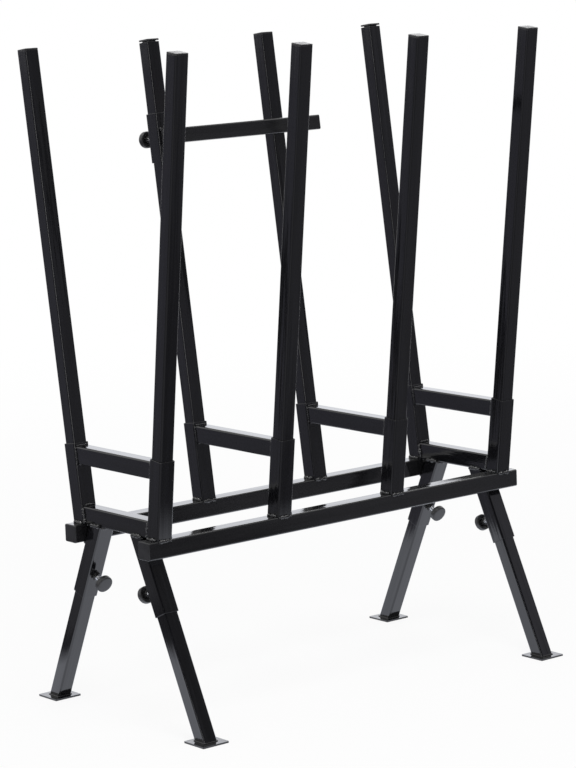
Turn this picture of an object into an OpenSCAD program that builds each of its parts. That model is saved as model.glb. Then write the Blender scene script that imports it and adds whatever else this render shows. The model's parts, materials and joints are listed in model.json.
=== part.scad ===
// Log saw stand. Two rails carry four pairs of leaning posts in welded sockets, and rungs
// between the sockets hold the log. Four splayed legs slide in sockets under the end pairs.
// A hold-down bar slides on the second back post. The origin is on the floor, in the middle
// of the stand, with X along the rails, Y towards the back and Z up.

/* [Frame] */
// Distance between neighbouring pairs of posts
pair_spacing = 250; // [180:1:320]
// Height of the rails' top faces above the floor
rail_top_h = 320; // [270:1:420]
// Distance from the middle of the stand to the middle of each rail
rail_y = 103; // [90:0.5:130]
// Side of the square rail tubes
rail_w = 30; // [25:0.5:36]
// Length of rail that stands out past the last socket at each end
rail_overhang = 18; // [8:1:60]
// Wall of the rail, rung, post, leg and bar tubes
tube_wall = 1.2; // [1:0.1:2.5]
// Outer corner radius of every square tube
tube_corner_r = 3; // [1.5:0.1:3.5]
// Inner corner radius of every square tube
tube_inner_r = 1.5; // [0.5:0.1:2]
// Width of the rungs and of the lower cross tubes
rung_w = 25; // [20:0.5:30]
// Height of the rungs and of the lower cross tubes
rung_h = 30; // [20:0.5:36]
// Height of the sockets' tops above the rungs' top faces
rung_drop = 3; // [1:0.5:30]

/* [Posts] */
// Side of the square posts, legs and hold-down bar
post_w = 26; // [20:0.5:30]
// Length of a post along its axis
post_l = 790; // [500:1:1000]
// Outward lean of the posts in degrees
post_tilt = 7.5; // [3:0.1:12]
// Length of a post socket along its axis
socket_l = 134; // [100:1:200]
// Wall of the sockets and of the hold-down's sleeve
socket_wall = 1.5; // [1.2:0.1:3]
// Clearance between a sliding tube and its socket on each side
slide_gap = 0.5; // [0.3:0.05:0.8]

/* [Legs] */
// Outward lean of the legs in degrees
leg_splay = 25; // [15:0.1:32]
// Length of a leg socket along its axis
leg_socket_l = 136; // [120:1:170]
// Length of leg inside its socket
leg_insert = 96; // [75:1:100]
// Distance from a leg socket's lower end up to its thumbscrew
leg_screw_rise = 45; // [30:1:60]
// Side of a square foot plate
foot_w = 52; // [40:1:80]
// Thickness of a foot plate
foot_t = 3; // [2:0.5:5]
// Corner radius of a foot plate
foot_corner_r = 1.5; // [0.5:0.1:6]

/* [Caps and plugs] */
// Thickness of the post caps' heads
cap_t = 3; // [2:0.5:6]
// Gap under the heads of the two caps that stand proud
cap_lift = 2; // [0.5:0.1:4]
// Thickness of the heads of the rail and bar plugs
plug_t = 2; // [1:0.5:4]
// Depth of the caps and plugs inside their tubes
plug_l = 14; // [8:1:25]
// Wall of the caps' and plugs' hollow cores
plug_wall = 1.5; // [1:0.1:3]
// Number of fins around the core of a cap or plug
plug_fins = 3; // [2:1:5]
// Thickness of a fin
plug_fin_t = 1.2; // [0.8:0.1:1.5]
// Length by which a fin stands out from the core
plug_fin_l = 3.5; // [2:0.1:5]
// Clearance between a plug's fins and its tube on each side
plug_gap = 0.1; // [0.05:0.01:0.2]

/* [Hold-down] */
// Length of the sleeve along its post
hold_sleeve_l = 84; // [60:1:120]
// Distance from the post's top end down to the middle of the sleeve
hold_drop = 164; // [80:1:300]
// Distance from the sleeve's left face to the bar's left end
hold_bar_inset = 5; // [0:0.5:12]
// Length of bar past the third back post
hold_bar_reach = 60; // [20:1:100]

/* [Thumbscrews] */
// Diameter of the screws
screw_d = 8; // [6:0.5:10]
// Clearance between a screw and the bores that it turns in
screw_gap = 0.05; // [0.02:0.01:0.09]
// Clearance between a screw and the hole in its socket's wall
screw_hole_gap = 0.4; // [0.2:0.1:0.8]
// Gap between a screw's tip and the tube that it clamps
screw_tip_gap = 0.2; // [0.1:0.05:0.4]
// Chamfer of a screw's tip
screw_chamfer = 1; // [0.5:0.1:2]
// Length of bare screw between the nut and the knob
screw_free_l = 10; // [4:0.5:20]
// Length of screw inside the knob
screw_grip_l = 9; // [6:0.5:11]
// Clearance past the screw's end inside the knob
screw_end_gap = 0.2; // [0.1:0.05:0.5]
// Width of a weld nut across its flats
nut_af = 13; // [12:0.5:17]
// Height of a weld nut
nut_h = 6.5; // [5:0.5:9]
// Diameter of a knob
knob_d = 29; // [24:0.5:40]
// Height of a knob's rim
knob_h = 10; // [8:0.5:16]
// Radius of a knob's rounded edges
knob_edge_r = 2; // [0.5:0.1:3]
// Width of a knob's rim at the recess
knob_rim_w = 3; // [2:0.5:5]
// Depth of the recess around a knob's hub
knob_recess_d = 5; // [2:0.5:6]
// Diameter of a knob's hub
hub_d = 13; // [12:0.5:17]
// Length of hub that stands out of a knob's rim
hub_stand = 4; // [2:0.5:8]

/* [Hidden] */
$fn = 64;
paint = "#1d1e23";
plastic = "#161719";
zinc = "#b9bcc1";

// Numbers of the pairs from left to right, of the end pairs and of the hold-down's pair
pairs = [1, 2, 3, 4];
end_pairs = [1, 4];
hold_pair = 2;
// Front and back, and left and right
sides = [-1, 1];
ends = [-1, 1];
front = -1;
back = 1;
// Posts whose caps stand proud, as pair and side
proud_caps = [[2, back], [4, back]];
// Length by which cutting shapes run past the solid
overrun = 1;
nut_sides = 6;

// Outside of a socket around its sliding tube
socket_w = post_w + 2 * (slide_gap + socket_wall);
end_x = (len(pairs) - 1) / 2 * pair_spacing;
// Length of the ends that are cut away to make the sockets and posts sit flat
post_mitre = socket_w * sin(post_tilt);
leg_mitre = socket_w * tan(leg_splay);
// Heights above the rails
rung_rise = socket_l * cos(post_tilt) - rung_drop - rung_h;
// Distance from the middle of the stand to the end of a rail's tube
rail_end_x = end_x + socket_w / 2 + rail_overhang - plug_t;
// Each leg's axis: its length from the floor to the rails' top faces, and its foot
leg_axis_l = rail_top_h / cos(leg_splay);
leg_edge_y = rail_y - rail_w / 2 - socket_w / 2 / cos(leg_splay);
foot_y = leg_edge_y + (rail_top_h - rail_w) * tan(leg_splay);
leg_socket_start = leg_axis_l - leg_socket_l;
leg_top = leg_socket_start + leg_insert;
leg_screw_along = leg_socket_start + leg_screw_rise;
// The hold-down along its post
hold_along = post_l - hold_drop;
hold_bar_start = hold_bar_inset - socket_w / 2;
hold_bar_end = pair_spacing + post_w / 2 + hold_bar_reach;
// Places along a thumbscrew, measured outwards from the tube that it clamps
nut_base = slide_gap + socket_wall;
knob_base = nut_base + nut_h + screw_free_l;

function pair_x(pair) = (pair - (len(pairs) + 1) / 2) * pair_spacing;
function side_name(side) = side == front ? "front" : "back";
function end_name(end) = end < 0 ? "left" : "right";
function numbered(side, thing, pair) = str(side_name(side), "_", thing, "_", pair);
function leg_name(side, end, thing) = str(side_name(side), "_", end_name(end), "_", thing);
function cap_rise(pair, side) = len([for (c = proud_caps) if (c == [pair, side]) c]) > 0 ? cap_lift : 0;
// Where the axis of a socket lies at a height above the rails
function axis_y(rise) = rail_y + rise * tan(post_tilt);

// Rectangle with round corners, around its middle
module round_rectangle(w, h, r) {
    square([w - 2 * r, h], center = true);
    square([w, h - 2 * r], center = true);
    for (x = [-1, 1], y = [-1, 1])
        translate([x * (w / 2 - r), y * (h / 2 - r)]) circle(r);
}

// Section of a square or rectangular tube
module tube_section(w, h, wall) {
    difference() {
        round_rectangle(w, h, tube_corner_r);
        round_rectangle(w - 2 * wall, h - 2 * wall, tube_inner_r);
    }
}

// Frame of a post: Z runs up the post's axis from the rail's top face
module on_post(pair, side) {
    translate([pair_x(pair), side * rail_y, rail_top_h]) rotate([-side * post_tilt, 0, 0]) children();
}

// Frame of a leg: Z runs up the leg's axis from the floor
module on_leg(side, end) {
    translate([end * end_x, side * foot_y, 0]) rotate([side * leg_splay, 0, 0]) children();
}

// Frame of a leg's thumbscrew: Z runs from the leg's inner face out through the nut
module on_leg_screw(side, end) {
    on_leg(side, end)
        translate([0, -side * post_w / 2, leg_screw_along]) rotate([side * 90, 0, 0]) children();
}

// Frame of the hold-down's thumbscrew, on the back face of its post
module on_hold_screw() {
    on_post(hold_pair, back) translate([0, post_w / 2, hold_along]) rotate([-90, 0, 0]) children();
}

// Tube that leans with a post and ends flat on the rail's top face
module leaning_tube(pair, side, w, wall, length) {
    difference() {
        on_post(pair, side) translate([0, 0, -post_mitre]) linear_extrude(length + post_mitre)
            tube_section(w, w, wall);
        translate([pair_x(pair) - socket_w, side * rail_y - socket_w, rail_top_h - 2 * socket_w])
            cube(2 * socket_w);
    }
}

// Tube across a pair, cut to the faces of its two sockets
module cross_tube(pair, rise) {
    reach = axis_y(rise + rung_h);
    color(paint) difference() {
        translate([pair_x(pair), -reach, rail_top_h + rise + rung_h / 2]) rotate([-90, 0, 0])
            linear_extrude(2 * reach) tube_section(rung_w, rung_h, tube_wall);
        for (side = sides) on_post(pair, side) translate([0, 0, socket_l / 2])
            cube([rung_w + 2 * overrun, socket_w, socket_l + 2 * socket_w], center = true);
    }
}

// Plastic plug in the end of a tube: its head is outside, and fins on its hollow core grip the tube
module tube_plug(w, h, head_t) {
    fin_w = w - 2 * (tube_wall + plug_gap);
    fin_h = h - 2 * (tube_wall + plug_gap);
    core_w = fin_w - 2 * plug_fin_l;
    core_h = fin_h - 2 * plug_fin_l;
    color(plastic) {
        linear_extrude(head_t) round_rectangle(w, h, tube_corner_r);
        difference() {
            union() {
                translate([0, 0, -plug_l]) linear_extrude(plug_l)
                    round_rectangle(core_w, core_h, tube_inner_r);
                for (fin = [1 : plug_fins]) translate([0, 0, -fin * plug_l / plug_fins])
                    linear_extrude(plug_fin_t) round_rectangle(fin_w, fin_h, tube_inner_r);
            }
            translate([0, 0, -plug_l - overrun]) linear_extrude(plug_l + overrun)
                square([core_w - 2 * plug_wall, core_h - 2 * plug_wall], center = true);
        }
    }
}

module rail(side) {
    color(paint) translate([-rail_end_x, side * rail_y, rail_top_h - rail_w / 2]) rotate([90, 0, 90])
        linear_extrude(2 * rail_end_x) tube_section(rail_w, rail_w, tube_wall);
}

module rail_end_plugs() {
    for (side = sides, end = ends)
        translate([end * rail_end_x, side * rail_y, rail_top_h - rail_w / 2]) rotate([0, end * 90, 0])
            tube_plug(rail_w, rail_w, plug_t);
}

module post_socket(pair, side) {
    color(paint) leaning_tube(pair, side, socket_w, socket_wall, socket_l);
}

module rung(pair) {
    cross_tube(pair, rung_rise);
}

module lower_cross_tube(pair) {
    cross_tube(pair, 0);
}

// The socket ends flat under the lower cross tube and has a hole for its thumbscrew
module leg_socket(side, end) {
    color(paint) difference() {
        on_leg(side, end) translate([0, 0, leg_socket_start]) linear_extrude(leg_socket_l + leg_mitre)
            tube_section(socket_w, socket_w, socket_wall);
        translate([end * end_x - socket_w, side * leg_edge_y - 2 * socket_w, rail_top_h])
            cube(4 * socket_w);
        on_leg_screw(side, end) cylinder(d = screw_d + 2 * screw_hole_gap, h = nut_base + overrun);
    }
}

module weld_nut() {
    color(paint) translate([0, 0, nut_base]) difference() {
        cylinder(d = nut_af / cos(180 / nut_sides), h = nut_h, $fn = nut_sides);
        translate([0, 0, -overrun]) cylinder(d = screw_d + 2 * screw_gap, h = nut_h + 2 * overrun);
    }
}

module leg_weld_nuts() {
    for (side = sides, end = ends) on_leg_screw(side, end) weld_nut();
}

module post(pair, side) {
    color(paint) leaning_tube(pair, side, post_w, tube_wall, post_l);
}

module post_cap(pair, side) {
    on_post(pair, side) translate([0, 0, post_l + cap_rise(pair, side)]) tube_plug(post_w, post_w, cap_t);
}

// The leg ends flat on its foot plate
module leg(side, end) {
    color(paint) difference() {
        on_leg(side, end) translate([0, 0, -leg_mitre]) linear_extrude(leg_top + leg_mitre)
            tube_section(post_w, post_w, tube_wall);
        translate([end * end_x - socket_w, side * foot_y - socket_w, foot_t - 2 * socket_w])
            cube(2 * socket_w);
    }
}

module foot(side, end) {
    color(paint) translate([end * end_x, side * foot_y, 0]) linear_extrude(foot_t)
        round_rectangle(foot_w, foot_w, foot_corner_r);
}

module screw() {
    r = screw_d / 2;
    tip = screw_tip_gap;
    color(zinc) rotate_extrude() polygon([
        [0, tip], [r - screw_chamfer, tip], [r, tip + screw_chamfer],
        [r, knob_base + screw_grip_l], [0, knob_base + screw_grip_l]
    ]);
}

// Half section of a knob's rim with its two round edges
module knob_rim_section() {
    r = knob_d / 2;
    square([r - knob_edge_r, knob_h]);
    translate([0, knob_edge_r]) square([r, knob_h - 2 * knob_edge_r]);
    for (y = [knob_edge_r, knob_h - knob_edge_r]) translate([r - knob_edge_r, y]) circle(knob_edge_r);
}

// The hub stands in a recess under the rim, and the screw is set in the hub
module knob() {
    color(plastic) translate([0, 0, knob_base]) difference() {
        rotate_extrude() {
            difference() {
                translate([0, hub_stand]) knob_rim_section();
                translate([0, hub_stand - overrun])
                    square([knob_d / 2 - knob_rim_w, knob_recess_d + overrun]);
            }
            square([hub_d / 2, hub_stand + knob_recess_d]);
        }
        translate([0, 0, -overrun])
            cylinder(d = screw_d + 2 * screw_gap, h = screw_grip_l + screw_end_gap + overrun);
    }
}

module hold_down_sleeve() {
    color(paint) difference() {
        on_post(hold_pair, back) translate([0, 0, hold_along - hold_sleeve_l / 2])
            linear_extrude(hold_sleeve_l) tube_section(socket_w, socket_w, socket_wall);
        on_hold_screw() cylinder(d = screw_d + 2 * screw_hole_gap, h = nut_base + overrun);
    }
}

// Frame of the hold-down's bar: Z runs along the bar from its post to the right
module on_bar(along) {
    on_post(hold_pair, back) translate([along, -(socket_w + post_w) / 2, hold_along])
        rotate([0, 90, 0]) children();
}

module hold_down_bar() {
    color(paint) on_bar(hold_bar_start + plug_t) linear_extrude(hold_bar_end - hold_bar_start - 2 * plug_t)
        tube_section(post_w, post_w, tube_wall);
}

module hold_down_bar_plugs() {
    on_bar(hold_bar_end - plug_t) tube_plug(post_w, post_w, plug_t);
    on_bar(hold_bar_start + plug_t) mirror([0, 0, 1]) tube_plug(post_w, post_w, plug_t);
}

rail(front);  // front_rail
rail(back);  // back_rail
rail_end_plugs();
for (side = sides, pair = pairs) {
    post_socket(pair, side);
    post(pair, side);
    post_cap(pair, side);
}
for (pair = pairs) rung(pair);
for (pair = end_pairs) lower_cross_tube(pair);
for (side = sides, end = ends) {
    leg_socket(side, end);
    leg(side, end);
    foot(side, end);
    on_leg_screw(side, end) screw();
    on_leg_screw(side, end) knob();
}
leg_weld_nuts();
hold_down_sleeve();
hold_down_bar();
hold_down_bar_plugs();
on_hold_screw() weld_nut();  // hold_down_nut
on_hold_screw() screw();  // hold_down_screw
on_hold_screw() knob();  // hold_down_knob
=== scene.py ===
# A log saw stand of black painted steel tube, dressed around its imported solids.
# Everything is in metres: X runs along the rails to the right, Y to the back, Z up from the floor.
import json
import math
import random

import bmesh
import bpy
from mathutils import Matrix, Vector

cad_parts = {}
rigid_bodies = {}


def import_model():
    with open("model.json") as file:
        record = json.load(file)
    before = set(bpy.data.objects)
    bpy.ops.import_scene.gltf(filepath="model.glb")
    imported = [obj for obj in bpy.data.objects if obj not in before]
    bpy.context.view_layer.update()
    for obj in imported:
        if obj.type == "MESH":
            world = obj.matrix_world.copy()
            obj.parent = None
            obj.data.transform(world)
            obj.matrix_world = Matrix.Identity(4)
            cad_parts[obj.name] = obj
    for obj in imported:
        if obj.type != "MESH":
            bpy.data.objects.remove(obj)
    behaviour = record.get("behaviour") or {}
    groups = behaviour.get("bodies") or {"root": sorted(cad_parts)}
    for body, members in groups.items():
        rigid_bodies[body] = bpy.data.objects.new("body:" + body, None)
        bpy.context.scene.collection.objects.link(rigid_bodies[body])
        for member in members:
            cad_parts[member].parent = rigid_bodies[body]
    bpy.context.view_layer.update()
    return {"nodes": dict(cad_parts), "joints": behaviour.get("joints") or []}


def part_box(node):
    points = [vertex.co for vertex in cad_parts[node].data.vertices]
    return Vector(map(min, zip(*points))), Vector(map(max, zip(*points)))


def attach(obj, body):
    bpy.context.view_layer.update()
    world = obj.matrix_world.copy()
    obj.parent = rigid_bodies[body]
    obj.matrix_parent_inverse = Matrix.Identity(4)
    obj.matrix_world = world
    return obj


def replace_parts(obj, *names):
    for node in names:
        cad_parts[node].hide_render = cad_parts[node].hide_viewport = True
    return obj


for leftover in list(bpy.data.objects):
    bpy.data.objects.remove(leftover)
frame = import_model()
solids = frame["nodes"]
joints = {joint["name"]: joint for joint in frame["joints"]}


# The two rails
# Lengths of 30 mm square steel tube that run the whole length of the stand and carry all the rest.
# They are sawn square, and the welded frame is sprayed with gloss black paint that is baked hard.
SIDES = {"front": -1, "back": 1}
MM = 0.001
NOISE_LOW, NOISE_HIGH = 0.3, 0.7
BLACKS = ((0.0030, 0.0030, 0.0038), (0.0052, 0.0052, 0.0066))
STREAK = (11 * MM, 11 * MM, 240 * MM)
STREAK_DEPTH = 0.45 * MM
PEEL_DEPTH = 0.025 * MM
PAINT_GLOSS = (0.06, 0.12)
EDGE_ROUND = 0.6 * MM


def empty_material(name):
    """A material with no nodes yet."""
    material = bpy.data.materials.new(name)
    material.use_nodes = True
    material.node_tree.nodes.clear()
    return material


def new_material(name):
    """A material that holds only its shader and its output."""
    material = empty_material(name)
    shader = add(material, "ShaderNodeBsdfPrincipled")
    add(material, "ShaderNodeOutputMaterial", {"Surface": shader.outputs["BSDF"]})
    return material, shader


def add(material, kind, inputs=None, **options):
    """Adds a node, with each input a plain value or another node's output."""
    node = material.node_tree.nodes.new(kind)
    for option, value in options.items():
        setattr(node, option, value)
    connect(material, node, inputs or {})
    return node


def connect(material, node, inputs):
    """Sets a node's inputs, or links them to other nodes' outputs."""
    for socket, value in inputs.items():
        if isinstance(value, bpy.types.NodeSocket):
            material.node_tree.links.new(value, node.inputs[socket])
        else:
            node.inputs[socket].default_value = value


def ramp(material, factor, stops):
    """Blends the colours of the stops, each a place and a colour, along a factor."""
    node = add(material, "ShaderNodeValToRGB", {"Fac": factor})
    node.color_ramp.elements[0].position = stops[0][0]
    node.color_ramp.elements[1].position = stops[-1][0]
    for place, _ in stops[1:-1]:
        node.color_ramp.elements.new(place)
    for element, (_, colour) in zip(node.color_ramp.elements, stops):
        element.color = (*colour, 1.0)
    return node.outputs["Color"]


def noise(material, vector, scale, detail):
    """Cloudy noise between 0 and 1."""
    inputs = {"Vector": vector, "Scale": scale, "Detail": detail}
    return add(material, "ShaderNodeTexNoise", inputs).outputs["Fac"]


def spread(material, value, start, end, low, high):
    """A value that goes from low to high while another goes from start to end."""
    limits = {"Value": value, "From Min": start, "From Max": end, "To Min": low, "To Max": high}
    return add(material, "ShaderNodeMapRange", limits).outputs["Result"]


def bump(material, height, depth, normal=None):
    """A normal that follows a height, on top of another normal where there is one."""
    inputs = {"Height": height, "Distance": depth}
    if normal:
        inputs["Normal"] = normal
    return add(material, "ShaderNodeBump", inputs).outputs["Normal"]


def two_tone(material, clouds, dark, pale):
    """A colour that goes from dark to pale with a noise."""
    return ramp(material, clouds, [(NOISE_LOW, dark), (NOISE_HIGH, pale)])


def uneven_gloss(material, clouds, least, most):
    """A roughness that goes from its least to its most with a noise."""
    return spread(material, clouds, NOISE_LOW, NOISE_HIGH, least, most)


def gloss_paint(name, turn, streak=STREAK, blacks=BLACKS):
    """Baked black paint on drawn tube: fine orange peel, and soft streaks along the tube's own Z."""
    material, shader = new_material(name)
    place = add(material, "ShaderNodeTexCoord").outputs["Object"]
    layout = {"Vector": place, "Rotation": turn, "Scale": streak}
    along = add(material, "ShaderNodeMapping", layout, vector_type="TEXTURE").outputs["Vector"]
    streaks = noise(material, along, 1.0, 2.0)
    clouds = noise(material, place, 24.0, 4.0)
    peel = noise(material, place, 520.0, 1.0)
    drawn = bump(material, streaks, STREAK_DEPTH)
    connect(material, shader, {
        "Base Color": two_tone(material, streaks, *blacks),
        "Roughness": uneven_gloss(material, clouds, *PAINT_GLOSS),
        "Normal": bump(material, peel, PEEL_DEPTH, drawn),
        "IOR": 1.6,
    })
    return material


def dress(node, material):
    """Gives a solid its finish, and rounds its sawn edges a little, as the paint does."""
    solid = solids[node]
    solid.data.materials.clear()
    solid.data.materials.append(material)
    joined = solid.modifiers.new("joined_faces", "WELD")
    joined.merge_threshold = 0.01 * MM
    soft = solid.modifiers.new("soft_edges", "BEVEL")
    soft.width = EDGE_ROUND
    soft.segments = 3
    soft.limit_method = "ANGLE"
    soft.angle_limit = math.radians(50)
    soft.harden_normals = False
    solid.modifiers.new("flat_faces", "WEIGHTED_NORMAL")


# Painted light: the rails' black is lighter than the other tubes', though it is the same paint,
# standing in for brighter reflections on the rails' faces.
painted_light_rail_blacks = ((0.0065, 0.0065, 0.0073), (0.0095, 0.0095, 0.0105))
painted_light_rail_paint = gloss_paint("painted_light_rail_paint", (0, math.radians(90), 0), blacks=painted_light_rail_blacks)
for side in SIDES:
    dress(f"{side}_rail", painted_light_rail_paint)


# The rail end plugs
# Square moulded plastic inserts that close the rails' four ends: a flat head with rounded edges
# outside, and inside the tube a slimmer core with thin fins that grip the walls.
ENDS = {"left": -1, "right": 1}
OUTLINE_STEPS = 5
TUBE_CORNER = 3.0 * MM
PLUG_DEPTH = 14 * MM
PLUG_FINS = 3
FIN_REACH = 3.5 * MM
FIN_STEPS = (0.4 * MM, 0.9 * MM, 1.4 * MM)
HEAD_ROUND = 1.4 * MM
HEAD_EDGE = 0.25 * MM
LEAST_CORNER = 0.4 * MM
GRAIN_DEPTH = 0.02 * MM


def make_piece(name, shape, material, body, crease=35):
    """Turns mesh work into a piece that rides on a body. Folds past crease degrees stay sharp."""
    mesh = bpy.data.meshes.new(name)
    bmesh.ops.recalc_face_normals(shape, faces=shape.faces)
    shape.to_mesh(mesh)
    shape.free()
    mesh.materials.append(material)
    mesh.shade_smooth()
    mesh.set_sharp_from_angle(angle=math.radians(crease))
    piece = bpy.data.objects.new(name, mesh)
    bpy.context.scene.collection.objects.link(piece)
    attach(piece, body)
    return piece


def skin(shape, rings, closed=False):
    """Joins rings of points, one after the other, and closes the two ends, or joins them if closed."""
    loops = [[shape.verts.new(point) for point in ring] for ring in rings]
    pairs = list(zip(loops, loops[1:]))
    if closed:
        pairs.append((loops[-1], loops[0]))
    else:
        shape.faces.new(list(reversed(loops[0])))
        shape.faces.new(loops[-1])
    for low, high in pairs:
        for i in range(len(low)):
            j = (i + 1) % len(low)
            shape.faces.new((low[i], low[j], high[j], high[i]))


def rounded_square(width, corner, z):
    """Points around a square with round corners, at a height."""
    reach = width / 2 - corner
    points = []
    for quarter in range(4):
        middle = Vector((reach, reach, 0))
        for step in range(OUTLINE_STEPS + 1):
            turn = math.pi / 2 * step / OUTLINE_STEPS
            point = middle + corner * Vector((math.cos(turn), math.sin(turn), 0))
            points.append(Matrix.Rotation(quarter * math.pi / 2, 3, "Z") @ point + Vector((0, 0, z)))
    return points


def plug(shape, place, width, head, wall, lift=0.0):
    """A moulded insert on a tube's end: Z of place points out of the tube, from its end face."""
    inside = width - 2 * wall
    core = inside - 2 * FIN_REACH
    sections = []
    for fin in range(PLUG_FINS, 0, -1):
        z = -PLUG_DEPTH * fin / PLUG_FINS
        under, over, end = (z + step for step in FIN_STEPS)
        sections += [(core, z), (inside, under), (inside, over), (core, end)]
    sections += [(core, 0), (width - 2 * HEAD_EDGE, 0), (width, HEAD_EDGE)]
    for step in range(OUTLINE_STEPS + 1):
        turn = math.pi / 2 * step / OUTLINE_STEPS
        size = width - 2 * HEAD_ROUND * (1 - math.cos(turn))
        sections.append((size, head - HEAD_ROUND * (1 - math.sin(turn))))
    rings = []
    for size, z in sections:
        corner = max(TUBE_CORNER - (width - size) / 2, LEAST_CORNER)
        rings.append([place @ point for point in rounded_square(size, corner, z + lift)])
    skin(shape, rings)


def moulded_plastic(name, dark, pale, gloss):
    """Black plastic with the fine grain of its mould, and slow changes of gloss."""
    material, shader = new_material(name)
    place = add(material, "ShaderNodeTexCoord").outputs["Object"]
    grain = noise(material, place, 1400.0, 2.0)
    flow = noise(material, place, 60.0, 3.0)
    connect(material, shader, {
        "Base Color": two_tone(material, flow, dark, pale),
        "Roughness": uneven_gloss(material, flow, *gloss),
        "Normal": bump(material, grain, GRAIN_DEPTH),
        "IOR": 1.53,
    })
    return material


def facing(origin, out, sideways):
    """The place whose Z points along out and whose X lies along sideways."""
    z = Vector(out).normalized()
    y = z.cross(Vector(sideways)).normalized()
    return Matrix.Translation(origin) @ Matrix((y.cross(z), y, z)).transposed().to_4x4()


cap_blacks = ((0.009, 0.009, 0.010), (0.014, 0.014, 0.016))
cap_plastic = moulded_plastic("cap_plastic", *cap_blacks, gloss=(0.34, 0.44))
tube_wall = 1.2 * MM
plug_head = 2 * MM
shape = bmesh.new()
for side in SIDES:
    low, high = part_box(f"{side}_rail")
    for end, x in ((-1, low.x), (1, high.x)):
        end_middle = Vector((x, (low.y + high.y) / 2, (low.z + high.z) / 2))
        plug(shape, facing(end_middle, (end, 0, 0), (0, 1, 0)), high.z - low.z, plug_head, tube_wall)
rail_plugs = make_piece("rail_end_plug_mouldings", shape, cap_plastic, "frame")
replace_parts(rail_plugs, "rail_end_plugs")


# The eight post sockets
# Short 30 mm tubes that lean outwards on the rails, each mitred to sit flat on its rail and welded
# round its foot, except where a lower cross tube meets it. The weld is a rippled bead under the paint.
PAIRS = (1, 2, 3, 4)
END_PAIRS = (1, 4)
BEAD_STEP = 0.6 * MM
LEAST_STEPS = 6
BEAD_SIDES = 12
BEAD_RIPPLE = 4.2 * MM
BEAD_LUMPS = (1.9 * MM, 3.1 * MM)
RIPPLE_SHARE, LUMP_SHARE, SINK_SHARE = 0.32, 0.18, 0.38
RIPPLE_LAG = 0.3
BLUNT_END = 0.08
BEAD_R = 3.7 * MM
SEAT_SHARE = 0.3

post_axis = Vector(joints["back_post_1_lift"]["axis"])
lean = math.atan2(post_axis.y, post_axis.z)
rail_low, rail_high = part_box("back_rail")
rail_y = (rail_low.y + rail_high.y) / 2
rail_top = rail_high.z
socket_low, socket_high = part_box("back_socket_1")
socket_half = (socket_high.x - socket_low.x) / 2


def socket_face(side, z, way):
    """Y of a socket's outer face, or of its inner face where way is -1, at a height."""
    return SIDES[side] * (rail_y + (z - rail_top) * math.tan(lean) + way * socket_half / math.cos(lean))


def middle_x(node):
    """X of the middle of a node's box."""
    low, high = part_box(node)
    return (low.x + high.x) / 2


def bead(shape, chance, start, end, out, radius):
    """One straight rippled bead of weld with round ends. Its ripples lean along out."""
    beat, swell = chance.uniform(0, 6), chance.uniform(0, 6)
    rough = radius / BEAD_R
    total = (end - start).length
    count = max(LEAST_STEPS, round(total / BEAD_STEP))
    ahead = (end - start).normalized()
    side_way = ahead.cross(Vector(out)).normalized()
    up = side_way.cross(ahead)
    rings = []
    for step in range(count + 1):
        distance = total * step / count
        point = start + ahead * distance
        edge = min(1.0, min(distance, total - distance) / radius + BLUNT_END)
        wave = abs(math.sin(math.pi * distance / BEAD_RIPPLE + beat))
        short, long = (distance / length for length in BEAD_LUMPS)
        lump = math.sin(short + swell) + math.sin(long + 2 * swell)
        ripple = RIPPLE_SHARE * wave + LUMP_SHARE * lump - SINK_SHARE
        size = radius * math.sqrt(1 - (1 - edge) ** 2) * (1 + rough * ripple)
        ring = []
        for corner in range(BEAD_SIDES):
            turn = 2 * math.pi * corner / BEAD_SIDES
            lag = -RIPPLE_LAG * BEAD_RIPPLE * math.cos(turn) * edge
            ring.append(point + size * (math.cos(turn) * up + math.sin(turn) * side_way) + lag * ahead)
        rings.append(ring)
    skin(shape, rings)


def across(x, reach, y, z):
    """A straight run along the stand, to both sides of x."""
    return [(x - reach, y, z), (x + reach, y, z)]


def weld(name, body, runs, radius=BEAD_R, paint=None):
    """A piece of weld made of several beads. Each run has its two ends and the way that it faces."""
    chance = random.Random(name)
    shape = bmesh.new()
    for (start, end), out in runs:
        bead(shape, chance, Vector(start), Vector(end), out, radius)
    make_piece(name, shape, paint or weld_paint, body, crease=80)


post_paint = {side: gloss_paint(f"{side}_post_paint", (-SIDES[side] * lean, 0, 0)) for side in SIDES}
# Painted highlight: the welds, tacks and nuts carry the frame's black paint made much lighter, so that
# their lumps and edges look brighter.
painted_highlight_weld_blacks = ((0.0060, 0.0060, 0.0070), (0.0240, 0.0240, 0.0255))
weld_paint = gloss_paint("weld_paint", (0, 0, 0), (3 * MM, 3 * MM, 3 * MM), painted_highlight_weld_blacks)
bead_seat = SEAT_SHARE * BEAD_R
for side, way in SIDES.items():
    outer, inner = socket_face(side, rail_top, 1), socket_face(side, rail_top, -1)
    for pair in PAIRS:
        dress(f"{side}_socket_{pair}", post_paint[side])
        x = middle_x(f"{side}_socket_{pair}")
        reach = socket_half - BEAD_R / 2
        runs = [(across(x, reach, outer, rail_top - bead_seat), (0, way, 0))]
        if pair not in END_PAIRS:
            runs.append((across(x, reach, inner, rail_top - bead_seat), (0, -way, 0)))
        for end in (-1, 1):
            beside = x + end * (socket_half + bead_seat)
            run_ends = (outer - way * BEAD_R, inner + way * BEAD_R)
            runs.append(([(beside, y, rail_top + bead_seat) for y in run_ends], (end, 0, 1)))
        weld(f"{side}_socket_{pair}_weld", "frame", runs)


# The rungs and the lower cross tubes
# Flat-sided tubes, 25 by 30 mm, that run between the two sockets of a pair. A rung near the sockets'
# tops carries the log, and the end pairs have a second tube on the rails. Both ends are welded.
THIN_BEAD_R = 1.7 * MM
LOWER_BEAD_R = 2.9 * MM

rung_paint = gloss_paint("rung_paint", (math.radians(-90), 0, 0))


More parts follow.
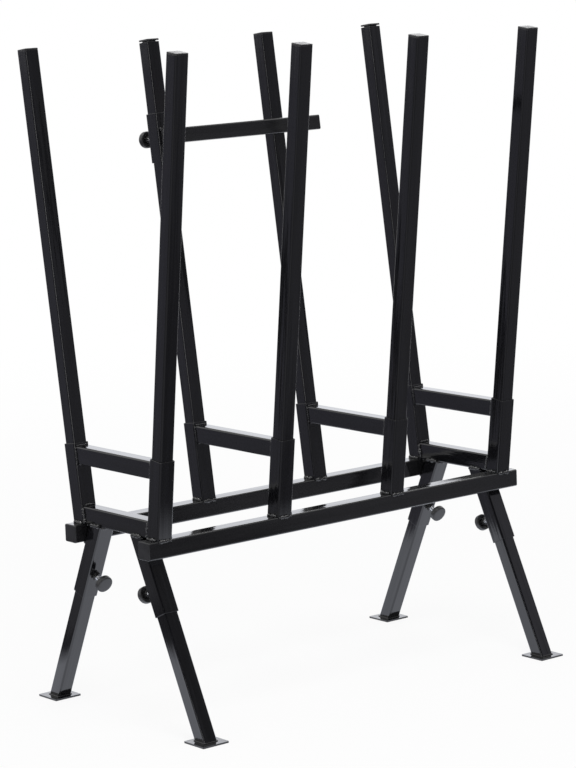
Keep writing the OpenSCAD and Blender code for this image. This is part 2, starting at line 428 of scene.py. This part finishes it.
def cross_weld(node, radius):
    """Beads around both ends of a tube that runs across a pair of sockets."""
    low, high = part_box(node)
    seat = SEAT_SHARE * radius
    runs = []
    for side, way in SIDES.items():
        floor_y, ceiling_y = socket_face(side, low.z, -1), socket_face(side, high.z, -1)
        for end, x in ((-1, low.x - seat), (1, high.x + seat)):
            foot = (x, floor_y - way * seat, low.z + radius)
            runs.append(([foot, (x, ceiling_y - way * seat, high.z - radius)], (end, -way, 0)))
        reach = (high.x - low.x) / 2 - radius
        for z, y, up in ((low.z - seat, floor_y, -1), (high.z + seat, ceiling_y, 1)):
            runs.append((across(middle_x(node), reach, y - way * seat, z), (0, -way, up)))
    weld(f"{node}_weld", "frame", runs, radius)


bead_radii = {f"rung_{pair}": THIN_BEAD_R for pair in PAIRS}
bead_radii |= {f"cross_tube_{pair}": LOWER_BEAD_R for pair in END_PAIRS}
for node, radius in bead_radii.items():
    dress(node, rung_paint)
    cross_weld(node, radius)


# The leg sockets and their nuts
# Four 30 mm tubes that splay out under the end pairs, cut flat under the lower cross tube and
# welded to it and to the rail's lower edge. A hex nut is tacked over a hole in each inner face.
CORNERS = [(side, end) for side in SIDES for end in ENDS]
NUT_ACROSS = 13 * MM
NUT_HEIGHT = 6.5 * MM
NUT_BORE = 8.1 * MM
NUT_TOP_SHARE = 0.96
NUT_CHAMFER = math.radians(30)
COUNTERSINK = 0.5 * MM
NUT_STEPS = 72
TACK_R = 1.5 * MM
TACK_HALF = 1.6 * MM

leg_axis = Vector(joints["back_left_leg_slide"]["axis"])
splay = math.atan2(leg_axis.y, -leg_axis.z)
leg_paint = {side: gloss_paint(f"{side}_leg_paint", (SIDES[side] * splay, 0, 0)) for side in SIDES}
foot_low, foot_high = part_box("back_left_foot")
foot_y = (foot_low.y + foot_high.y) / 2


def leg_face(side, z, half, way):
    """Y of a splayed tube's outer face, or of its inner face where way is -1, at a height."""
    return SIDES[side] * (foot_y - z * math.tan(splay) + way * half / math.cos(splay))


def screw_place(corner):
    """Where a thumbscrew stands: Z runs from the tube that it clamps out to its knob."""
    turn = joints[f"{corner}_knob_turn"]
    return facing(Vector(turn["pos_m"]), turn["axis"], (1, 0, 0))


def hex_nut(shape, place, base):
    """A hex nut with its corners chamfered and its bore countersunk."""
    rings = []
    flat, bore = NUT_ACROSS / 2, NUT_BORE / 2
    chamfer_r = NUT_TOP_SHARE * flat
    top = base + NUT_HEIGHT
    for step in range(NUT_STEPS):
        turn = 2 * math.pi * step / NUT_STEPS
        from_flat = (turn % (math.pi / 3)) - math.pi / 6
        edge = flat / math.cos(from_flat)
        shoulder = (edge - chamfer_r) * math.tan(NUT_CHAMFER)
        profile = [(bore, base), (edge, base), (edge, top - shoulder), (chamfer_r, top)]
        profile += [(bore + COUNTERSINK, top), (bore, top - COUNTERSINK)]
        rings.append([place @ Vector((r * math.cos(turn), r * math.sin(turn), z)) for r, z in profile])
    skin(shape, rings, closed=True)


def tacks(name, body, places, base):
    """Small blobs of weld on the flats at each side of a nut."""
    runs = []
    foot = Vector((NUT_ACROSS / 2 + 0.5 * MM, 0, base + 0.4 * MM))
    half = Vector((0, TACK_HALF, 0))
    for place in places:
        for turn in (90, 210, 330):
            spot = place @ Matrix.Rotation(math.radians(turn), 4, "Z")
            blob = (spot @ (foot - half), spot @ (foot + half))
            runs.append((blob, spot.to_3x3() @ Vector((1, 0, 1))))
    weld(name, body, runs, TACK_R)


clamp_gap = 2.0 * MM
shape = bmesh.new()
for side, end in CORNERS:
    way = SIDES[side]
    node = f"{side}_{end}_leg_socket"
    dress(node, leg_paint[side])
    x = middle_x(node)
    seat = leg_face(side, rail_low.z, socket_half, 1) + way * 0.8 * BEAD_R
    run = across(x, socket_half - BEAD_R / 2, seat, rail_low.z - 0.2 * BEAD_R)
    runs = [(run, (0, way, -0.3))]
    pair = END_PAIRS[0] if end == "left" else END_PAIRS[1]
    cross_low, cross_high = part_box(f"cross_tube_{pair}")
    near, far = (leg_face(side, rail_top, socket_half, face) for face in (-1, 1))
    for edge_x, out in ((cross_low.x - bead_seat, -1), (cross_high.x + bead_seat, 1)):
        run = [(edge_x, y, rail_top + bead_seat) for y in (near + way * BEAD_R, far - way * BEAD_R)]
        runs.append((run, (out, 0, 0.4)))
    reach = (cross_high.x - cross_low.x) / 2
    runs.append((across(x, reach, near, rail_top - bead_seat), (0, -way, -0.5)))
    weld(f"{node}_weld", "frame", runs)
    hex_nut(shape, screw_place(f"{side}_{end}"), clamp_gap)
leg_nuts = make_piece("leg_hex_nuts", shape, weld_paint, "frame", crease=20)
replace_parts(leg_nuts, "leg_weld_nuts")
tacks("leg_nut_tacks", "frame", [screw_place(f"{side}_{end}") for side, end in CORNERS], clamp_gap)


# The legs and their feet
# Each leg is a 26 mm tube that slides in its socket. Its lower end is mitred to stand on a square
# steel plate, and a bead of weld runs all the way round it.
FOOT_BEAD_R = 1.1 * MM

plate_paint = gloss_paint("plate_paint", (0, 0, 0), (14 * MM, 14 * MM, 14 * MM))
foot_seat = SEAT_SHARE * FOOT_BEAD_R
for side, end in CORNERS:
    corner = f"{side}_{end}"
    dress(f"{corner}_leg", leg_paint[side])
    dress(f"{corner}_foot", plate_paint)
    plate_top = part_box(f"{corner}_foot")[1].z
    low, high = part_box(f"{corner}_leg")
    half = (high.x - low.x) / 2
    x, z = middle_x(f"{corner}_leg"), plate_top + foot_seat
    near, far = leg_face(side, plate_top, half, -1), leg_face(side, plate_top, half, 1)
    runs = []
    for out in (-1, 1):
        beside = x + out * (half + foot_seat)
        runs.append(([(beside, near, z), (beside, far, z)], (out, 0, 1)))
        y = (near if out < 0 else far) + out * SIDES[side] * foot_seat
        runs.append((across(x, half, y, z), (0, out * SIDES[side], 1)))
    weld(f"{corner}_foot_weld", f"{corner}_leg", runs, FOOT_BEAD_R, plate_paint)


# The posts and their caps
# Eight 26 mm tubes that drop into the sockets and lift out again. Each is closed at the top by
# a plastic insert, and two of those at the back aren't pushed home, so a gap shows under their heads.
cap_head = 3 * MM


def span(node, way):
    """The least and the greatest distance of a solid's points along a direction."""
    reach = [way.dot(vertex.co) for vertex in solids[node].data.vertices]
    return min(reach), max(reach)


for side in SIDES:
    for pair in PAIRS:
        post, cap = f"{side}_post_{pair}", f"{side}_post_cap_{pair}"
        dress(post, post_paint[side])
        axis = Vector(joints[f"{post}_lift"]["axis"])
        low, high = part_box(post)
        foot = Vector((middle_x(post), SIDES[side] * rail_y, rail_top))
        post_end, cap_end = span(post, axis)[1], span(cap, axis)[1]
        place = facing(foot + axis * (post_end - axis.dot(foot)), axis, (1, 0, 0))
        shape = bmesh.new()
        plug(shape, place, high.x - low.x, cap_head, tube_wall, lift=cap_end - cap_head - post_end)
        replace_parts(make_piece(f"{cap}_moulding", shape, cap_plastic, post), cap)


# The hold-down
# A sleeve of 30 mm tube that slides on the second back post, with a 26 mm bar welded across its
# inner face. The bar reaches past the third post, and it has a plug in each end.
dress("hold_down_sleeve", post_paint["back"])
# The bar shares the rails' lighter black: painted light standing in for brighter reflections.
dress("hold_down_bar", painted_light_rail_paint)
up = Vector(joints["hold_down_slide"]["axis"])
right = Vector((1, 0, 0))
inward = right.cross(up)
bar_left, bar_right = span("hold_down_bar", right)
bar_bottom, bar_top = span("hold_down_bar", up)
bar_seat, bar_face = span("hold_down_bar", inward)
sleeve_right = span("hold_down_sleeve", right)[1]


def on_bar(x, height, depth):
    """A point by its place along the stand, up the post and inwards from it."""
    return right * x + up * height + inward * depth


shape = bmesh.new()
for end, x in ((-1, bar_left), (1, bar_right)):
    middle = on_bar(x, (bar_bottom + bar_top) / 2, (bar_seat + bar_face) / 2)
    plug(shape, facing(middle, (end, 0, 0), up), bar_top - bar_bottom, plug_head, tube_wall)
bar_plugs = make_piece("hold_down_bar_plug_mouldings", shape, cap_plastic, "hold_down")
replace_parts(bar_plugs, "hold_down_bar_plugs")

seam = bar_seat + bead_seat
runs = []
for height, way in ((bar_top + bead_seat, 1), (bar_bottom - bead_seat, -1)):
    run = [on_bar(bar_left + BEAD_R, height, seam), on_bar(sleeve_right - BEAD_R, height, seam)]
    runs.append((run, way * up + inward))
beside = sleeve_right + bead_seat
run_ends = (bar_bottom + BEAD_R, bar_top - BEAD_R)
runs.append(([on_bar(beside, height, bar_seat - bead_seat) for height in run_ends], right - inward))
start = on_bar(bar_left, bar_top + bead_seat, seam)
runs.append(([start - right * BEAD_R, start + right * BEAD_R], up + inward))
weld("hold_down_bar_weld", "hold_down", runs)

shape = bmesh.new()
hex_nut(shape, screw_place("hold_down"), clamp_gap)
hold_nut = make_piece("hold_down_hex_nut", shape, weld_paint, "hold_down", crease=20)
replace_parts(hold_nut, "hold_down_nut")
tacks("hold_down_nut_tacks", "hold_down", [screw_place("hold_down")], clamp_gap)


# The thumbscrews
# Five M8 screws of zinc plated steel with rolled threads, one through each nut. A round knob of black
# plastic is moulded on the end of each: a rim with rounded edges, and a hub in a recess behind it.
THUMBSCREWS = [f"{side}_{end}" for side, end in CORNERS] + ["hold_down"]
PITCH = 1.25 * MM
CREST_R, ROOT_R = 4.0 * MM, 3.35 * MM
SCREW_STEPS = 40
RINGS_PER_PITCH = 10
ROOT_SHARE, FLANK_SHARE = 0.12, 0.7
TIP_CHAMFER = 0.4 * MM
KNOB_R = 14.5 * MM
KNOB_EDGE = 2.0 * MM
KNOB_DOME = 0.3 * MM
RIM_WALL = 3 * MM
RIM_LIP = 0.7 * MM
RECESS = 5 * MM
FILLET = 0.6 * MM
HUB_R = 6.5 * MM
HUB_PROUD = 4 * MM
HUB_EDGE = 0.5 * MM
BORE_STOP = 4 * MM
ZINC_DARK, ZINC_PALE = (0.55, 0.56, 0.58), (0.72, 0.73, 0.74)
ZINC_GLOSS = (0.22, 0.38)


def zinc_plate():
    """Bright zinc on steel: pale blue grey metal with faint cloudy changes of gloss."""
    material, shader = new_material("zinc_plate")
    place = add(material, "ShaderNodeTexCoord").outputs["Object"]
    clouds = noise(material, place, 260.0, 4.0)
    connect(material, shader, {
        "Base Color": two_tone(material, clouds, ZINC_DARK, ZINC_PALE),
        "Roughness": uneven_gloss(material, clouds, *ZINC_GLOSS),
        "Normal": bump(material, clouds, GRAIN_DEPTH),
        "Metallic": 1.0,
    })
    return material


def threaded_screw(shape, place, start, end):
    """A screw with a rolled thread, chamfered at its tip."""
    rings = []
    count = round((end - start) / PITCH * RINGS_PER_PITCH)
    for ring_number in range(count + 1):
        z = start + (end - start) * ring_number / count
        ring = []
        for step in range(SCREW_STEPS):
            share = step / SCREW_STEPS
            tooth = 1 - abs(2 * ((z / PITCH - share) % 1) - 1)
            flank = min(1.0, max(0.0, (tooth - ROOT_SHARE) / FLANK_SHARE))
            r = min(ROOT_R + (CREST_R - ROOT_R) * flank, ROOT_R - TIP_CHAMFER + z - start)
            turn = 2 * math.pi * share
            ring.append(place @ Vector((r * math.cos(turn), r * math.sin(turn), z)))
        rings.append(ring)
    skin(shape, rings)


def arc(middle_r, middle_z, radius, start, end, steps=6):
    """Points of a profile along an arc, from one angle to another in degrees."""
    turns = [math.radians(start + (end - start) * step / steps) for step in range(steps + 1)]
    return [(middle_r + radius * math.cos(turn), middle_z + radius * math.sin(turn)) for turn in turns]


def knob_profile(hub, rim, face, bore):
    """Half section of a knob: from its bore over the hub, the recess and the rim to its domed face."""
    floor = rim + RECESS
    inner = KNOB_R - RIM_WALL
    edge = KNOB_R - KNOB_EDGE
    section = [(bore, face - BORE_STOP), (bore, hub), (HUB_R - HUB_EDGE, hub), (HUB_R, hub + HUB_EDGE)]
    section += arc(HUB_R + FILLET, floor - FILLET, FILLET, 180, 90, 3)
    section += arc(inner - FILLET, floor - FILLET, FILLET, 90, 0, 3)
    section += arc(inner + RIM_LIP, rim + RIM_LIP, RIM_LIP, 180, 270, 4)
    section += arc(edge, rim + KNOB_EDGE, KNOB_EDGE, 270, 360)
    section += arc(edge, face - KNOB_EDGE - KNOB_DOME, KNOB_EDGE, 0, 80)
    dome = [(KNOB_R * share, face - KNOB_DOME * share ** 2) for share in (0.75, 0.6, 0.4, 0.2, 0.05)]
    return section + dome


def lathe(shape, place, profile, steps=96):
    """Spins a profile of radii and heights around the Z of a place, and closes both of its ends."""
    turns = [2 * math.pi * step / steps for step in range(steps)]
    rings = []
    for r, z in profile:
        rings.append([place @ Vector((r * math.cos(turn), r * math.sin(turn), z)) for turn in turns])
    skin(shape, rings)


zinc = zinc_plate()
knob_blacks = ((0.013, 0.013, 0.014), (0.020, 0.020, 0.021))
knob_plastic = moulded_plastic("knob_plastic", *knob_blacks, gloss=(0.32, 0.46))
for thumbscrew in THUMBSCREWS:
    place = screw_place(thumbscrew)
    out, origin = Vector(joints[f"{thumbscrew}_knob_turn"]["axis"]), place.translation
    screw_start, screw_end = (reach - out.dot(origin) for reach in span(f"{thumbscrew}_screw", out))
    hub, face = (reach - out.dot(origin) for reach in span(f"{thumbscrew}_knob", out))
    shape = bmesh.new()
    threaded_screw(shape, place, screw_start, screw_end)
    body = f"{thumbscrew}_screw"
    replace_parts(make_piece(f"{body}_thread", shape, zinc, body), body)
    shape = bmesh.new()
    lathe(shape, place, knob_profile(hub, hub + HUB_PROUD, face, NUT_BORE / 2))
    body = f"{thumbscrew}_knob"
    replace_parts(make_piece(f"{body}_moulding", shape, knob_plastic, body), body)


# The floor and the studio
# A wide white floor that keeps the stand's soft shadow. Round it lies a sheet that only reflections
# see, and that
# glows with painted reflections: a painted pool of light round the stand, white behind the stand, and
# painted dim grey and dark elsewhere. Only the gloss of the paint shows that.
PAINTED_POOL_EDGE = (1.0, 1.2)
PAINTED_POOL_SIDE = (0.31, 0.43)
PAINTED_POOL_SIDE_WAY = (-0.63, 0.78, 0)
# Painted pool of light: round the stand the sheet is bluish and brighter than white.
PAINTED_POOL_WHITE = (1.12, 1.16, 1.28, 1)
FLOOR_FADE = (1.2, 4.0)
FLOOR_GLOW = (0.88, 1.0)
ROOM_R = 12.5
WALL_LOW, WALL_HIGH = math.radians(2), math.radians(40)
WALL_BLEND = (2.0, 4.0)
DARK_SIDE = (-0.63, -0.78, 0)
LAMP_AIM = Vector((0, 0, 0.4))

room_middle = Vector((0, 0.4, 0))


def stage_mesh(name, rings, material):
    """A piece of the studio, made of rings of points from its filled middle outwards."""
    shape = bmesh.new()
    loops = [[shape.verts.new(point) for point in ring] for ring in rings]
    shape.faces.new(loops[0])
    for low, high in zip(loops, loops[1:]):
        for i in range(len(low)):
            j = (i + 1) % len(low)
            shape.faces.new((low[j], low[i], high[i], high[j]))
    mesh = bpy.data.meshes.new(name)
    shape.to_mesh(mesh)
    shape.free()
    mesh.materials.append(material)
    stage_piece = bpy.data.objects.new(name, mesh)
    bpy.context.scene.collection.objects.link(stage_piece)
    return stage_piece


def circle(radius, z=0.0, steps=96):
    """Points around a level circle."""
    turns = [2 * math.pi * step / steps for step in range(steps)]
    return [Vector((radius * math.cos(turn), radius * math.sin(turn), z)) for turn in turns]


def wall_height(point):
    """The wall is low at the back, where the tubes' top faces mirror white, and high at the front."""
    share = (1 - point.y / ROOM_R) / 2
    return ROOM_R * math.tan(WALL_LOW + (WALL_HIGH - WALL_LOW) * share ** 1.5)


def seen_directly(material):
    """1 for rays of the camera, of reflections and of clear things, and 0 for the light on surfaces."""
    path = add(material, "ShaderNodeLightPath")
    first = add(material, "ShaderNodeMath", operation="MAXIMUM")
    connect(material, first, {0: path.outputs["Is Camera Ray"], 1: path.outputs["Is Glossy Ray"]})
    both = add(material, "ShaderNodeMath", operation="MAXIMUM")
    connect(material, both, {0: first.outputs[0], 1: path.outputs["Is Transmission Ray"]})
    return both.outputs[0]


def white_floor():
    """Matt white that is mostly plain bright, and wholly so far away, where it meets the background."""
    material = empty_material("white_floor")
    place = add(material, "ShaderNodeTexCoord").outputs["Object"]
    away = add(material, "ShaderNodeVectorMath", {0: place}, operation="LENGTH").outputs["Value"]
    matt = add(material, "ShaderNodeBsdfDiffuse", {"Color": (0.82, 0.82, 0.82, 1)}).outputs[0]
    bright = add(material, "ShaderNodeEmission", {"Strength": 1.0}).outputs[0]
    glow = spread(material, away, *FLOOR_FADE, *FLOOR_GLOW)
    part = add(material, "ShaderNodeMath", operation="MULTIPLY")
    connect(material, part, {0: seen_directly(material), 1: glow})
    mix = add(material, "ShaderNodeMixShader", {"Fac": part.outputs[0], 1: matt, 2: bright}).outputs[0]
    add(material, "ShaderNodeOutputMaterial", {"Surface": mix})
    return material


def painted_reflection_room():
    """Painted reflections: white in a painted pool of light and behind the stand, and grey at its sides
    and at the front.

    High up it is painted paler at the right, and painted darker from there to the front.
    """
    material = empty_material("painted_reflection_room")
    place = add(material, "ShaderNodeTexCoord").outputs["Object"]
    away = add(material, "ShaderNodeVectorMath", {0: place}, operation="LENGTH").outputs["Value"]
    way = add(material, "ShaderNodeVectorMath", {0: place}, operation="NORMALIZE").outputs[0]
    facing_dark = add(material, "ShaderNodeVectorMath", {0: way, 1: DARK_SIDE}, operation="DOT_PRODUCT")
    shade = spread(material, facing_dark.outputs["Value"], -1.0, 1.0, 0.0, 1.0)
    aside = add(material, "ShaderNodeVectorMath", {0: place, 1: PAINTED_POOL_SIDE_WAY}, operation="DOT_PRODUCT")
    height = add(material, "ShaderNodeSeparateXYZ", {"Vector": place}).outputs["Z"]
    # Painted reflections: the sheet's greys, dims and darks, each set for how bright the faces that
    # mirror it look.
    left_grey, right_grey = (0.215, 0.215, 0.26), (0.19, 0.19, 0.21)
    front_dim, front_grey = (0.09, 0.09, 0.10), (0.28, 0.28, 0.30)
    high_right, high_dim, high_dark = (0.36, 0.36, 0.40), (0.11, 0.11, 0.115), (0.015, 0.015, 0.018)
    behind = [(0.0, (1, 1, 1)), (0.2, left_grey), (0.45, left_grey)]
    low_stops = behind + [(0.57, right_grey), (0.69, right_grey)]
    low_stops += [(0.735, front_dim), (0.82, front_dim), (0.95, front_grey)]
    high_stops = behind + [(0.52, high_right), (0.555, high_right), (0.595, high_dim)]
    high_stops += [(0.82, front_dim), (0.92, high_dark)]
    walls = add(material, "ShaderNodeMix", data_type="RGBA")
    connect(material, walls, {
        "Factor": spread(material, height, *WALL_BLEND, 0.0, 1.0),
        "A": ramp(material, shade, low_stops),
        "B": ramp(material, shade, high_stops),
    })
    # Painted pool of light, fading out at its edge and towards the back left.
    painted_pool = add(material, "ShaderNodeMath", operation="MULTIPLY")
    connect(material, painted_pool, {
        0: spread(material, away, *PAINTED_POOL_EDGE, 1.0, 0.0),
        1: spread(material, aside.outputs["Value"], *PAINTED_POOL_SIDE, 1.0, 0.0),
    })
    glow = add(material, "ShaderNodeMix", {"Factor": painted_pool.outputs[0]}, data_type="RGBA")
    connect(material, glow, {"A": walls.outputs["Result"], "B": PAINTED_POOL_WHITE})
    light = add(material, "ShaderNodeEmission", {"Color": glow.outputs["Result"]}).outputs[0]
    add(material, "ShaderNodeOutputMaterial", {"Surface": light})
    return material


stage_mesh("floor", [circle(radius) for radius in (1, 5, 30)], white_floor())
wall = [point + Vector((0, 0, wall_height(point))) for point in circle(ROOM_R)]
room_rings = [circle(radius, MM) for radius in (0.6, 0.8, 1, 3, ROOM_R)]
# The sheet glows for reflections only and holds painted reflections; it is no lamp.
room = stage_mesh("painted_reflection_room", room_rings + [wall], painted_reflection_room())
room.location = room_middle
for ray in ("camera", "diffuse", "transmission", "shadow", "volume_scatter"):
    setattr(room, f"visible_{ray}", False)

world = bpy.data.worlds.new("studio")
bpy.context.scene.world = world
world.use_nodes = True
world.node_tree.nodes.clear()
white = add(world, "ShaderNodeBackground", {"Strength": 1.0, "Color": (1, 1, 1, 1)}).outputs[0]
soft = add(world, "ShaderNodeBackground", {"Strength": 0.75, "Color": (1, 1, 1, 1)}).outputs[0]
mixed = add(world, "ShaderNodeMixShader", {"Fac": seen_directly(world), 1: soft, 2: white}).outputs[0]
add(world, "ShaderNodeOutputWorld", {"Surface": mixed})


def softbox(name, place, size, radiance, tint=(1, 1, 1)):
    """An area lamp that faces the stand, with a face as bright as its radiance, where 1 is white."""
    data = bpy.data.lights.new(name, "AREA")
    data.shape = "RECTANGLE"
    data.size, data.size_y = size
    data.energy = radiance * math.pi * size[0] * size[1]
    data.color = tint
    lamp = bpy.data.objects.new(name, data)
    lamp.location = place
    lamp.rotation_euler = (LAMP_AIM - Vector(place)).to_track_quat("-Z", "Y").to_euler()
    lamp.visible_camera = False
    bpy.context.scene.collection.objects.link(lamp)


softbox("overhead_softbox", (-0.6, -1.2, 3.2), (1.3, 1.3), 7.2)
softbox("back_softbox", (4.4, 5.4, 1.7), (7.0, 1.9), 0.64, tint=(0.96, 1.0, 1.14))
softbox("high_back_softbox", (4.6, 5.1, 3.8), (3.4, 2.0), 2.2)
softbox("key_softbox", (-4.2, -3.3, 1.2), (0.8, 1.6), 4.0)


# The camera
# It stands at the left of the front, a little above the posts' tops, and looks slightly down,
# with a long lens and a small roll, as the photograph was taken.
camera_place = Vector((-3.0889, -3.8210, 1.3116))
camera_aim = Vector((-0.0133, 0.0, 0.5169))
camera_roll = math.radians(-2.1)
camera_data = bpy.data.cameras.new("camera")
camera_data.lens = 136.0
camera_data.sensor_width = 36.0
camera = bpy.data.objects.new("camera", camera_data)
camera.location = camera_place
level = (camera_aim - camera_place).to_track_quat("-Z", "Y").to_matrix()
camera.rotation_euler = (level @ Matrix.Rotation(camera_roll, 3, "Z")).to_euler()
bpy.context.scene.collection.objects.link(camera)
bpy.context.scene.camera = camera
bpy.context.scene.view_settings.view_transform = "Standard"
